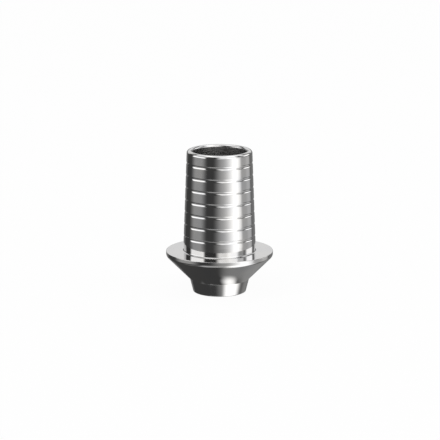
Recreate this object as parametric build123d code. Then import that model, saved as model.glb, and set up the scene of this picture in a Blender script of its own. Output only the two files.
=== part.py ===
# Dental abutment: the one-piece turned titanium base that a crown is bonded to
# and that one screw holds down on the implant. Sizes are in millimetres, with
# +Z up the turning axis and the origin at the middle of the underside.
from build123d import *
from math import radians, tan
import os

# Connection, the short cone that sits in the implant
connection_length = 0.60
connection_tip_radius = 1.21
connection_half_angle = 14.1
connection_tip_round = 0.05

# Flare from the connection out to the rim, which shapes the gum
flare_half_angle = 44.7
rim_radius = 2.45
rim_height = 0.21
rim_lower_round = 0.18
rim_upper_round = 0.02

# Chimney, the slim cone that the crown is bonded to
chimney_height = 4.68
chimney_foot_radius = 1.665
chimney_half_angle = 2.1
chimney_top_round = 0.13

# Relief round the chimney's foot, which narrows slightly down to the shoulder
relief_height = 0.42
relief_half_angle = 1.8
foot_fillet = 0.06

# Ring grooves round the chimney, which key the cement
groove_count = 7
groove_width = 0.155
groove_depth = 0.02
groove_top_land = 0.58
groove_foot_land = 0.705

# Screw channel, wide enough for the screw's head and its driver
channel_radius = 1.24
channel_mouth_round = 0.10

# Most of the wall at the mouth that the rounds on its two edges take up
largest_rounded_share = 0.97

# Conical seat under the screw's head, and the hole for its shank
seat_height = 1.05
seat_half_angle = 45.0
shank_hole_radius = 0.86
shank_hole_chamfer = 0.06


def widening(length, half_angle):
    """How much the radius of a cone grows over a length of its axis."""
    return length * tan(radians(half_angle))


connection_root_radius = connection_tip_radius + widening(connection_length, connection_half_angle)
flare_height = (rim_radius - connection_root_radius) / tan(radians(flare_half_angle))
rim_bottom = connection_length + flare_height
shoulder_height = rim_bottom + rim_height
total_height = shoulder_height + chimney_height
relief_top = shoulder_height + relief_height
seat_top = seat_height + (channel_radius - shank_hole_radius) / tan(radians(seat_half_angle))


def chimney_radius(height):
    """Radius of the chimney's cone at a height above the underside."""
    return chimney_foot_radius - widening(height - shoulder_height, chimney_half_angle)


chimney_top_radius = chimney_radius(total_height)
relief_top_radius = chimney_radius(relief_top)
relief_foot_radius = relief_top_radius - widening(relief_height, relief_half_angle)

# The two rounds on the mouth's edges shrink together where its wall is thin
mouth_wall = chimney_top_radius - channel_radius
both_rounds = chimney_top_round + channel_mouth_round
round_scale = min(1, largest_rounded_share * mouth_wall / both_rounds)
top_round = chimney_top_round * round_scale
mouth_round = channel_mouth_round * round_scale


def half_section(*corners):
    """A closed face in the XZ plane from corners given as radius and height."""
    return Plane.XZ * make_face(Polyline(*corners, close=True))


def round_corner(section, radius, height, size):
    """Round the corner of a half section that lies at a radius and height."""
    corner = section.vertices().sort_by_distance((radius, 0, height))[0]
    return fillet(corner, size)


def turned_blank():
    """The body turned from the bar and bored out, before its grooves are cut."""
    section = half_section(
        (shank_hole_radius + shank_hole_chamfer, 0),
        (connection_tip_radius, 0),
        (connection_root_radius, connection_length),
        (rim_radius, rim_bottom),
        (rim_radius, shoulder_height),
        (relief_foot_radius, shoulder_height),
        (relief_top_radius, relief_top),
        (chimney_top_radius, total_height),
        (channel_radius, total_height),
        (channel_radius, seat_top),
        (shank_hole_radius, seat_height),
        (shank_hole_radius, shank_hole_chamfer),
    )
    section = round_corner(section, connection_tip_radius, 0, connection_tip_round)
    section = round_corner(section, rim_radius, rim_bottom, rim_lower_round)
    section = round_corner(section, rim_radius, shoulder_height, rim_upper_round)
    section = round_corner(section, relief_foot_radius, shoulder_height, foot_fillet)
    section = round_corner(section, chimney_top_radius, total_height, top_round)
    section = round_corner(section, channel_radius, total_height, mouth_round)
    return revolve(section, Axis.Z)


def ring_groove(height):
    """The ring that a round-nosed tool takes out of the chimney at one height."""
    tool_radius = (groove_width**2 / 4 + groove_depth**2) / (2 * groove_depth)
    path_radius = chimney_radius(height) - groove_depth + tool_radius
    return Pos(0, 0, height) * Torus(path_radius, tool_radius)


def cement_grooves():
    """All the ring grooves, evenly spaced between the two plain lands."""
    lowest = shoulder_height + groove_foot_land
    highest = total_height - groove_top_land
    pitch = (highest - lowest) / (groove_count - 1)
    return [ring_groove(lowest + index * pitch) for index in range(groove_count)]


def abutment_body():
    """The finished abutment as one solid."""
    return turned_blank() - cement_grooves()


os.makedirs("parts", exist_ok=True)
export_step(abutment_body(), "parts/abutment_body.step")
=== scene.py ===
from collections import namedtuple
from math import cos, hypot, pi, radians, sin, tan

import bmesh
import bpy
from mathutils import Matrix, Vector


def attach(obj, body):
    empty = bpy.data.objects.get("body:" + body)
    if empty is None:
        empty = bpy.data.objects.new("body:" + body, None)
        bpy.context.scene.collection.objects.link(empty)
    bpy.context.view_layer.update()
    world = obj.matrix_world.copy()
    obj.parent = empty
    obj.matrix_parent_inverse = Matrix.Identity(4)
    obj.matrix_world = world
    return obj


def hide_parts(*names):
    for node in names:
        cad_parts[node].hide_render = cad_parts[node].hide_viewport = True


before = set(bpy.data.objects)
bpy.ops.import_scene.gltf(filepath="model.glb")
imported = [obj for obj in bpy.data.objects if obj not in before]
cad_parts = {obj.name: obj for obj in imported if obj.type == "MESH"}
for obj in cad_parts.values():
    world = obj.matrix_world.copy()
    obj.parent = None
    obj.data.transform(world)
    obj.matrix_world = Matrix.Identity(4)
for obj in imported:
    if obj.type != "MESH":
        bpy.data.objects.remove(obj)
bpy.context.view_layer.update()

MM = 0.001

# Connection cone and the flare above it
CONNECTION_LENGTH = 0.60
CONNECTION_TIP_RADIUS = 1.21
CONNECTION_HALF_ANGLE = 14.1
CONNECTION_TIP_ROUND = 0.05
FLARE_HALF_ANGLE = 44.7

# Polishing has softened the flare's root: the light runs smoothly over its
# corner between these two heights, and the surface keeps its form.
SOFT_ROOT_BOTTOM = 0.59
SOFT_ROOT_TOP = 1.25

# Rim and shoulder
RIM_RADIUS = 2.45
RIM_HEIGHT = 0.21
RIM_LOWER_ROUND = 0.18
RIM_UPPER_ROUND = 0.02

# Chimney, with the relief round its foot
CHIMNEY_HEIGHT = 4.68
CHIMNEY_FOOT_RADIUS = 1.665
CHIMNEY_HALF_ANGLE = 2.1
CHIMNEY_TOP_ROUND = 0.13
RELIEF_HEIGHT = 0.42
RELIEF_HALF_ANGLE = 1.8
RELIEF_BLEND_ROUND = 0.3
FOOT_FILLET = 0.06

# Ring grooves round the chimney, with the share of a side that its round takes
GROOVE_COUNT = 7
GROOVE_WIDTH = 0.155
GROOVE_DEPTH = 0.02
GROOVE_TOP_LAND = 0.58
GROOVE_FOOT_LAND = 0.705
GROOVE_ROUND_SHARE = 0.98

# Stepped screw bore
CHANNEL_RADIUS = 1.24
CHANNEL_MOUTH_ROUND = 0.10
SEAT_HEIGHT = 1.05
SEAT_HALF_ANGLE = 45.0
SHANK_HOLE_RADIUS = 0.86
SHANK_HOLE_CHAMFER = 0.06
BORE_EDGE_ROUND = 0.01

# How finely the section is turned. A firm ring close beside each round keeps
# the round's shading off the straight stretch next to it.
TURNS = 320
ROUND_SEGMENTS = 8
FIRM_RING = 0.004
SHARP_ANGLE = 20

# Two points, or two heights, nearer than this in metres are the same
SAME_POINT = 1e-8
SAME_HEIGHT = 1e-7


def widening(length, half_angle):
    """How much the radius of a cone grows over a length of its axis."""
    return length * tan(radians(half_angle))


def connection_radius(height):
    """Radius of the connection cone at a height above the underside."""
    return CONNECTION_TIP_RADIUS + widening(height, CONNECTION_HALF_ANGLE)


def flare_radius(height):
    """Radius of the flare at a height above the underside."""
    return CONNECTION_ROOT_RADIUS + widening(height - CONNECTION_LENGTH, FLARE_HALF_ANGLE)


def chimney_radius(height):
    """Radius of the chimney's cone at a height above the underside."""
    return CHIMNEY_FOOT_RADIUS - widening(height - SHOULDER_HEIGHT, CHIMNEY_HALF_ANGLE)


CONNECTION_ROOT_RADIUS = connection_radius(CONNECTION_LENGTH)
FLARE_HEIGHT = (RIM_RADIUS - CONNECTION_ROOT_RADIUS) / tan(radians(FLARE_HALF_ANGLE))
RIM_BOTTOM = CONNECTION_LENGTH + FLARE_HEIGHT
SHOULDER_HEIGHT = RIM_BOTTOM + RIM_HEIGHT
TOTAL_HEIGHT = SHOULDER_HEIGHT + CHIMNEY_HEIGHT
RELIEF_TOP = SHOULDER_HEIGHT + RELIEF_HEIGHT
SEAT_TOP = SEAT_HEIGHT + (CHANNEL_RADIUS - SHANK_HOLE_RADIUS) / tan(radians(SEAT_HALF_ANGLE))


def place_mesh(mesh, name):
    """The object that a finished bmesh makes, at the origin."""
    data = bpy.data.meshes.new(name)
    mesh.to_mesh(data)
    mesh.free()
    placed = bpy.data.objects.new(name, data)
    bpy.context.scene.collection.objects.link(placed)
    return placed


class Turning:
    """A closed half section drawn corner by corner, then turned about the upright axis."""

    def __init__(self):
        self.corners = []
        self.soft_height = None

    def to(self, radius, height, size=0.0, reach=0.0):
        """The next corner, with the size of its round or how far the round reaches."""
        self.corners.append((Vector((radius, height)), size, reach))

    def soft(self, radius, height):
        """A corner that polishing has softened, so the light runs smoothly over it."""
        self.soft_height = height * MM
        self.to(radius, height)

    def outline(self):
        """The corners with their reaches, each round with a firm ring close by on both sides."""
        places = [corner for corner, size, reach in self.corners]
        for index, (corner, size, reach) in enumerate(self.corners):
            inward = (places[index - 1] - corner).normalized()
            onward = (places[(index + 1) % len(places)] - corner).normalized()
            if size:
                reach = size / tan(inward.angle(onward) / 2)
                yield corner + inward * (reach + FIRM_RING), 0
            yield corner, reach
            if size:
                yield corner + onward * (reach + FIRM_RING), 0

    def turned(self, name):
        """The solid that the half section makes in one turn."""
        mesh = bmesh.new()
        outline = list(self.outline())
        verts = [mesh.verts.new((place.x * MM, 0, place.y * MM)) for place, reach in outline]
        for this, following in zip(verts, verts[1:] + verts[:1]):
            mesh.edges.new((this, following))
        for vert, (place, reach) in zip(verts, outline):
            if reach:
                bmesh.ops.bevel(
                    mesh, geom=[vert], offset=reach * MM, offset_type="OFFSET",
                    affect="VERTICES", segments=ROUND_SEGMENTS, profile=0.5, material=-1,
                )
        bmesh.ops.spin(
            mesh, geom=mesh.verts[:] + mesh.edges[:], cent=(0, 0, 0), axis=(0, 0, 1),
            angle=2 * pi, steps=TURNS, use_merge=True,
        )
        bmesh.ops.remove_doubles(mesh, verts=mesh.verts, dist=SAME_POINT)
        bmesh.ops.recalc_face_normals(mesh, faces=mesh.faces)
        for face in mesh.faces:
            face.smooth = True
        for edge in mesh.edges:
            edge.smooth = edge.calc_face_angle(0) < radians(SHARP_ANGLE) or self.is_soft(edge)
        return place_mesh(mesh, name)

    def is_soft(self, edge):
        """Whether an edge runs round the softened corner."""
        return all(abs(vert.co.z - self.soft_height) < SAME_HEIGHT for vert in edge.verts)


def add_foot(section):
    """The section's corners from the underside out to the rim and in to the relief's top."""
    section.to(CONNECTION_TIP_RADIUS, 0, CONNECTION_TIP_ROUND)
    section.to(connection_radius(SOFT_ROOT_BOTTOM), SOFT_ROOT_BOTTOM)
    section.soft(CONNECTION_ROOT_RADIUS, CONNECTION_LENGTH)
    section.to(flare_radius(SOFT_ROOT_TOP), SOFT_ROOT_TOP)
    section.to(RIM_RADIUS, RIM_BOTTOM, RIM_LOWER_ROUND)
    section.to(RIM_RADIUS, SHOULDER_HEIGHT, RIM_UPPER_ROUND)
    relief_top_radius = chimney_radius(RELIEF_TOP)
    relief_foot_radius = relief_top_radius - widening(RELIEF_HEIGHT, RELIEF_HALF_ANGLE)
    section.to(relief_foot_radius, SHOULDER_HEIGHT, FOOT_FILLET)
    section.to(relief_top_radius, RELIEF_TOP, RELIEF_BLEND_ROUND)


def add_groove(section, height):
    """One ring groove at a height: a sharp lip, the rounded hollow and a sharp lip."""
    low = height - GROOVE_WIDTH / 2
    high = height + GROOVE_WIDTH / 2
    side = hypot(GROOVE_WIDTH / 2, 2 * GROOVE_DEPTH)
    section.to(chimney_radius(low), low)
    section.to(chimney_radius(height) - 2 * GROOVE_DEPTH, height, reach=GROOVE_ROUND_SHARE * side)
    section.to(chimney_radius(high), high)


def add_bore(section):
    """The section's corners down the bore: channel, seat, shank hole and its chamfer."""
    section.to(CHANNEL_RADIUS, TOTAL_HEIGHT, CHANNEL_MOUTH_ROUND)
    section.to(CHANNEL_RADIUS, SEAT_TOP, BORE_EDGE_ROUND)
    section.to(SHANK_HOLE_RADIUS, SEAT_HEIGHT, BORE_EDGE_ROUND)
    section.to(SHANK_HOLE_RADIUS, SHANK_HOLE_CHAMFER, BORE_EDGE_ROUND)
    section.to(SHANK_HOLE_RADIUS + SHANK_HOLE_CHAMFER, 0, BORE_EDGE_ROUND)


def make_abutment():
    """The whole turned body as one piece, outside and bore."""
    section = Turning()
    add_foot(section)
    lowest = SHOULDER_HEIGHT + GROOVE_FOOT_LAND
    highest = TOTAL_HEIGHT - GROOVE_TOP_LAND
    pitch = (highest - lowest) / (GROOVE_COUNT - 1)
    for index in range(GROOVE_COUNT):
        add_groove(section, lowest + index * pitch)
    section.to(chimney_radius(TOTAL_HEIGHT), TOTAL_HEIGHT, CHIMNEY_TOP_ROUND)
    add_bore(section)
    return section.turned("abutment")


class Link:
    """A shader socket whose arithmetic adds Math nodes."""

    def __init__(self, tree, socket):
        self.tree = tree
        self.socket = socket

    def maths(self, operation, *values):
        """One Math node on this socket and the values after it."""
        values = dict(enumerate((self, *values)))
        return self.tree.add("ShaderNodeMath", {"operation": operation}, values)

    def __add__(self, other):
        return self.maths("ADD", other)

    __radd__ = __add__

    def __sub__(self, other):
        return self.maths("SUBTRACT", other)

    def __rsub__(self, other):
        return (self * -1.0).maths("ADD", other)

    def __mul__(self, other):
        return self.maths("MULTIPLY", other)

    __rmul__ = __mul__

    def ease(self, start, end):
        """Smoothly from 0 at the start to 1 at the end."""
        settings = {"interpolation_type": "SMOOTHSTEP"}
        sockets = {"Value": self, "From Min": start, "From Max": end}
        return self.tree.add("ShaderNodeMapRange", settings, sockets, "Result")

    def within(self, low, high, soft):
        """1 between two bounds and 0 outside them, with soft edges."""
        rise = self.ease(low - soft / 2, low + soft / 2)
        fall = self.ease(high - soft / 2, high + soft / 2)
        return rise * (1 - fall)


class Tree:
    """Adds nodes to one material's or world's node tree."""

    def __init__(self, owner):
        owner.use_nodes = True
        self.nodes = owner.node_tree.nodes
        self.links = owner.node_tree.links
        self.nodes.clear()

    def add(self, kind, settings=None, sockets=None, output=0):
        """One node of a type, its settings first, then its socket values or links."""
        node = self.nodes.new(kind)
        for key, value in (settings or {}).items():
            setattr(node, key, value)
        for key, value in (sockets or {}).items():
            if isinstance(value, Link):
                self.links.new(value.socket, node.inputs[key])
            else:
                node.inputs[key].default_value = value
        return Link(self, node.outputs[output]) if len(node.outputs) else node

    def place(self):
        """Object coordinates, whole and as x, y and z."""
        whole = self.add("ShaderNodeTexCoord", output="Object")
        parts = [self.add("ShaderNodeSeparateXYZ", {}, {"Vector": whole}, axis) for axis in "XYZ"]
        return whole, *parts


# Finish of the metal: its two tints, and how rough the outside is. The
# roughness wanders in fine bands and in wide clouds.
COOL_TINT = (0.60, 0.60, 0.605, 1)
WARM_TINT = (0.64, 0.632, 0.62, 1)
OUTSIDE_ROUGHNESS = 0.07
ROUGHNESS_WANDER = 0.03
BAND_SCALE = 6000.0
CLOUD_SCALE = 900.0
TINT_FROM = 0.35
TINT_TO = 0.65

# Fine turning marks, as bump
MARK_SCALE = 45000.0
MARK_DEPTH = 2e-7
MARK_STRENGTH = 0.25

# The channel's wall is rougher. It lies between these radii, and the roughness
# sets in up the seat, between these heights.
CHANNEL_EXTRA_ROUGHNESS = 0.18
CHANNEL_FROM_RADIUS = 1.10
CHANNEL_TO_RADIUS = 1.265
CHANNEL_EDGE = 0.01
CHANNEL_FROM_HEIGHT = 1.2
CHANNEL_FULL_HEIGHT = 1.4

# Sockets of the Mix node that mixes two colours
FIRST_COLOUR = 6
SECOND_COLOUR = 7
MIXED_COLOUR = 2


def titanium_finish():
    """Bright turned titanium: fine turning marks, and a roughness that wanders."""
    material = bpy.data.materials.new("titanium_turned")
    tree = Tree(material)
    place, x, y, z = tree.place()
    radius = (x * x + y * y).maths("SQRT")
    along = tree.add("ShaderNodeCombineXYZ", {}, {"X": radius, "Z": z})
    marks = tree.add(
        "ShaderNodeTexNoise", {}, {"Vector": along, "Scale": MARK_SCALE, "Detail": 3.0, "Roughness": 0.6},
    )
    bands = tree.add("ShaderNodeTexNoise", {}, {"Vector": along, "Scale": BAND_SCALE, "Detail": 2.0})
    cloud = tree.add("ShaderNodeTexNoise", {}, {"Vector": place, "Scale": CLOUD_SCALE, "Detail": 4.0})
    in_channel = radius.within(CHANNEL_FROM_RADIUS * MM, CHANNEL_TO_RADIUS * MM, CHANNEL_EDGE * MM)
    channel = in_channel * z.ease(CHANNEL_FROM_HEIGHT * MM, CHANNEL_FULL_HEIGHT * MM)
    wander = (bands - 0.5) * ROUGHNESS_WANDER + (cloud - 0.5) * ROUGHNESS_WANDER
    roughness = OUTSIDE_ROUGHNESS + wander + channel * CHANNEL_EXTRA_ROUGHNESS
    tint = tree.add(
        "ShaderNodeMix", {"data_type": "RGBA"},
        {"Factor": cloud.ease(TINT_FROM, TINT_TO), FIRST_COLOUR: COOL_TINT, SECOND_COLOUR: WARM_TINT},
        MIXED_COLOUR,
    )
    relief = tree.add(
        "ShaderNodeBump", {}, {"Strength": MARK_STRENGTH, "Distance": MARK_DEPTH, "Height": marks},
    )
    metal = tree.add(
        "ShaderNodeBsdfPrincipled", {},
        {"Base Color": tint, "Metallic": 1.0, "Roughness": roughness, "Normal": relief},
    )
    tree.add("ShaderNodeOutputMaterial", {}, {"Surface": metal})
    return material


# A soft box or card of the light tent: its azimuth from left to right, its
# elevation from low to high, the softness of its sides, the softness of its
# top and bottom, and its tone. Azimuth 0 is the camera's side and 90 is on the
# right.
Card = namedtuple("Card", "name left right low high side_soft level_soft tone")

# The cards of the tent. A card covers those before it.
CARDS = (
    ("white ceiling", -400, 400, 60, 99, 10, 6, 1.8),
    ("white ceiling behind", 120, 240, 46, 64, 10, 6, 1.8),
    ("grey cloth overhead", -400, 400, 76, 99, 10, 6, 0.7),
    ("pale ceiling right", -2, 84, 44, 64, 16, 6, 1.6),
    ("grey ceiling left", -130, -52, 32, 64, 14, 8, 0.75),
    ("grey wall behind", 132, 215, -28, 30, 12, 10, 0.22),
    ("white wall behind", 150, 222, 10, 35, 14, 6, 0.9),
    ("pale card left", -102, -54, -26, 0, 28, 6, 0.4),
    ("pale floor left", -108, -62, -58, -42, 14, 6, 0.16),
    ("dim card in front", -2, 80, -14, 0, 44, 8, 0.57),
    ("dim card below it", -2, 80, -43, -12, 44, 8, 0.48),
    ("thin strip in front", -42, 12, -38, -29, 14, 5, 0.7),
    ("pale floor in front", -60, 100, -68, -46, 24, 6, 0.66),
    ("soft box left", -105, -51, -3, 24, 10, 6, 1.8),
    ("soft box left above", -100, -58, 22, 34, 10, 8, 0.9),
    ("soft box right", -6, 64, 1, 24, 18, 6, 1.5),
    ("soft box right above", 5, 75, 22, 46, 14, 6, 1.1),
    ("soft box right middle", 28, 58, 0, 30, 12, 6, 1.8),
    ("soft box right heart", 26, 60, 13, 24, 16, 6, 2.2),
    ("low soft box right", 37, 73, -62, -2, 54, 4, 2.0),
    ("low box left end", 26, 60, -62, -30, 40, 8, 1.8),
    ("low box right end", 40, 88, -62, -28, 50, 8, 1.8),
    ("card right", 79, 128, -26, -3, 12, 6, 0.5),
    ("card right end", 104, 122, -26, -3, 14, 6, 0.62),
    ("pale strip right", 62, 84, 4, 17, 8, 6, 1.0),
    ("dim strip right", 84, 98, 4, 18, 8, 6, 0.4),
    ("strip light right", 96, 130, 8, 24, 12, 5, 2.0),
    ("strip light above", 92, 132, 24, 46, 12, 6, 0.9),
    ("grey floor behind", 112, 167, -83, -25, 48, 8, 0.29),
    ("grey floor behind end", 130, 166, -54, -24, 16, 14, 0.34),
)
# The tent's one round lamp, over the cards: its azimuth, elevation, radius,
# softness and tone
ROUND_LAMP = (80, -71, 11.5, 17, 1.6)

TENT_RADIUS = 0.3
TENT_TONE = 0.06
TO_DEGREES = 180 / pi
FULL_TURN = 360


def towards(azimuth, elevation):
    """Unit direction from the object at an azimuth and elevation."""
    turn = radians(azimuth)
    tilt = radians(elevation)
    return sin(turn) * cos(tilt), -cos(turn) * cos(tilt), sin(tilt)


def card_mask(azimuth, elevation, card):
    """1 on a card, 0 beside it and soft at its edges."""
    mask = elevation.within(card.low, card.high, card.level_soft)
    if card.right - card.left > FULL_TURN:
        return mask
    side = azimuth.within(card.left, card.right, card.side_soft)
    if card.right + card.side_soft / 2 > FULL_TURN / 2:
        side = side + (azimuth + FULL_TURN).within(card.left, card.right, card.side_soft)
    return mask * side


def tent_tone(tree):
    """Tone of the tent's cloth with all its cards and the round lamp."""
    x, y, z = tree.place()[1:]
    azimuth = x.maths("ARCTAN2", y * -1.0) * TO_DEGREES
    elevation = (z * (1 / TENT_RADIUS)).maths("ARCSINE") * TO_DEGREES
    tone = TENT_TONE
    for row in CARDS:
        card = Card(*row)
        mask = card_mask(azimuth, elevation, card)
        tone = (1 - mask) * tone + mask * card.tone
    turn, tilt, size, soft, lamp_tone = ROUND_LAMP
    lamp_x, lamp_y, lamp_z = towards(turn, tilt)
    cosine = (x * lamp_x + y * lamp_y + z * lamp_z) * (1 / TENT_RADIUS)
    off_lamp = cosine.maths("ARCCOSINE") * TO_DEGREES
    mask = 1 - off_lamp.ease(size - soft / 2, size + soft / 2)
    return (1 - mask) * tone + mask * lamp_tone


def make_tent():
    """The light tent that only the metal's reflections show."""
    mesh = bmesh.new()
    bmesh.ops.create_uvsphere(mesh, u_segments=64, v_segments=32, radius=TENT_RADIUS)
    tent = place_mesh(mesh, "tent")
    cloth = bpy.data.materials.new("tent_cloth")
    tree = Tree(cloth)
    glow = tree.add("ShaderNodeEmission", {}, {"Strength": tent_tone(tree)})
    tree.add("ShaderNodeOutputMaterial", {}, {"Surface": glow})
    tent.data.materials.append(cloth)
    tent.visible_camera = False
    tent.visible_diffuse = False
    tent.visible_shadow = False


# Floor and world: the floor shows as white in this share, and as lit matt in
# the rest, which keeps the shadow.
FLOOR_HALF_WIDTH = 0.25
FLOOR_COLOUR = (0.9, 0.9, 0.9, 1)
FLOOR_WHITE_SHARE = 0.95
WORLD_LIGHT = 0.9


def background_share(tree, strength):
    """The given strength where a camera, mirror or glass ray looks, else 0."""
    names = ("Is Camera Ray", "Is Glossy Ray", "Is Transmission Ray")
    camera, glossy, transmission = [tree.add("ShaderNodeLightPath", output=name) for name in names]
    seen = (camera + glossy + transmission).maths("MINIMUM", 1.0)
    return seen * strength


def make_floor():
    """A plain pale floor that stays white and keeps a soft shadow."""
    mesh = bmesh.new()
    bmesh.ops.create_grid(mesh, x_segments=1, y_segments=1, size=FLOOR_HALF_WIDTH)
    floor = place_mesh(mesh, "floor")
    pale = bpy.data.materials.new("pale_floor")
    tree = Tree(pale)
    matt = tree.add("ShaderNodeBsdfDiffuse", {}, {"Color": FLOOR_COLOUR})
    white = tree.add("ShaderNodeEmission", {}, {"Strength": 1.0})
    share = background_share(tree, FLOOR_WHITE_SHARE)
    surface = tree.add("ShaderNodeMixShader", {}, {0: share, 1: matt, 2: white})
    tree.add("ShaderNodeOutputMaterial", {}, {"Surface": surface})
    floor.data.materials.append(pale)
    floor.visible_glossy = False


def make_world():
    """White where the picture or a reflection shows it, plain light elsewhere."""
    world = bpy.data.worlds.new("studio")
    bpy.context.scene.world = world
    tree = Tree(world)
    strength = WORLD_LIGHT + background_share(tree, 1 - WORLD_LIGHT)
    sky = tree.add("ShaderNodeBackground", {}, {"Strength": strength})
    tree.add("ShaderNodeOutputWorld", {}, {"Surface": sky})


LAMP_TARGET = Vector((0, 0, 0.003))


def make_lamp(name, place, size, power):
    """One soft square lamp aimed at the object's middle."""
    data = bpy.data.lights.new(name, "AREA")
    data.shape = "SQUARE"
    data.size = size
    data.energy = power
    lamp = bpy.data.objects.new(name, data)
    lamp.location = place
    lamp.rotation_euler = (LAMP_TARGET - Vector(place)).to_track_quat("-Z", "Y").to_euler()
    lamp.visible_glossy = False
    bpy.context.scene.collection.objects.link(lamp)


# Camera, from the photograph's perspective. Its half width is how far the
# picture reaches to one side at a distance of 1.
CAMERA_ELEVATION = 12.93
CAMERA_DISTANCE = 0.1144
CAMERA_TARGET_HEIGHT = 0.003323
CAMERA_HALF_WIDTH = 0.088
CAMERA_SHIFT_X = 0.00107
SENSOR_WIDTH = 36.0


def make_camera():
    """The camera at the photograph's viewing angle."""
    data = bpy.data.cameras.new("camera")
    data.sensor_width = SENSOR_WIDTH
    data.lens = SENSOR_WIDTH / 2 / CAMERA_HALF_WIDTH
    data.shift_x = CAMERA_SHIFT_X
    data.clip_start = 0.01
    data.clip_end = 10.0
    camera = bpy.data.objects.new("camera", data)
    target = Vector((0, 0, CAMERA_TARGET_HEIGHT))
    back = Vector(towards(0, CAMERA_ELEVATION))
    camera.location = target + back * CAMERA_DISTANCE
    camera.rotation_euler = (-back).to_track_quat("-Z", "Y").to_euler()
    bpy.context.scene.collection.objects.link(camera)
    bpy.context.scene.camera = camera


abutment = make_abutment()
abutment.data.materials.append(titanium_finish())
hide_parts("abutment_body")
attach(abutment, "root")

make_tent()
make_floor()
make_world()
make_lamp("key", place=(-0.12, -0.10, 0.20), size=0.12, power=0.12)
make_lamp("fill", place=(0.14, -0.06, 0.14), size=0.12, power=0.06)
make_camera()

bpy.context.scene.view_settings.view_transform = "Standard"
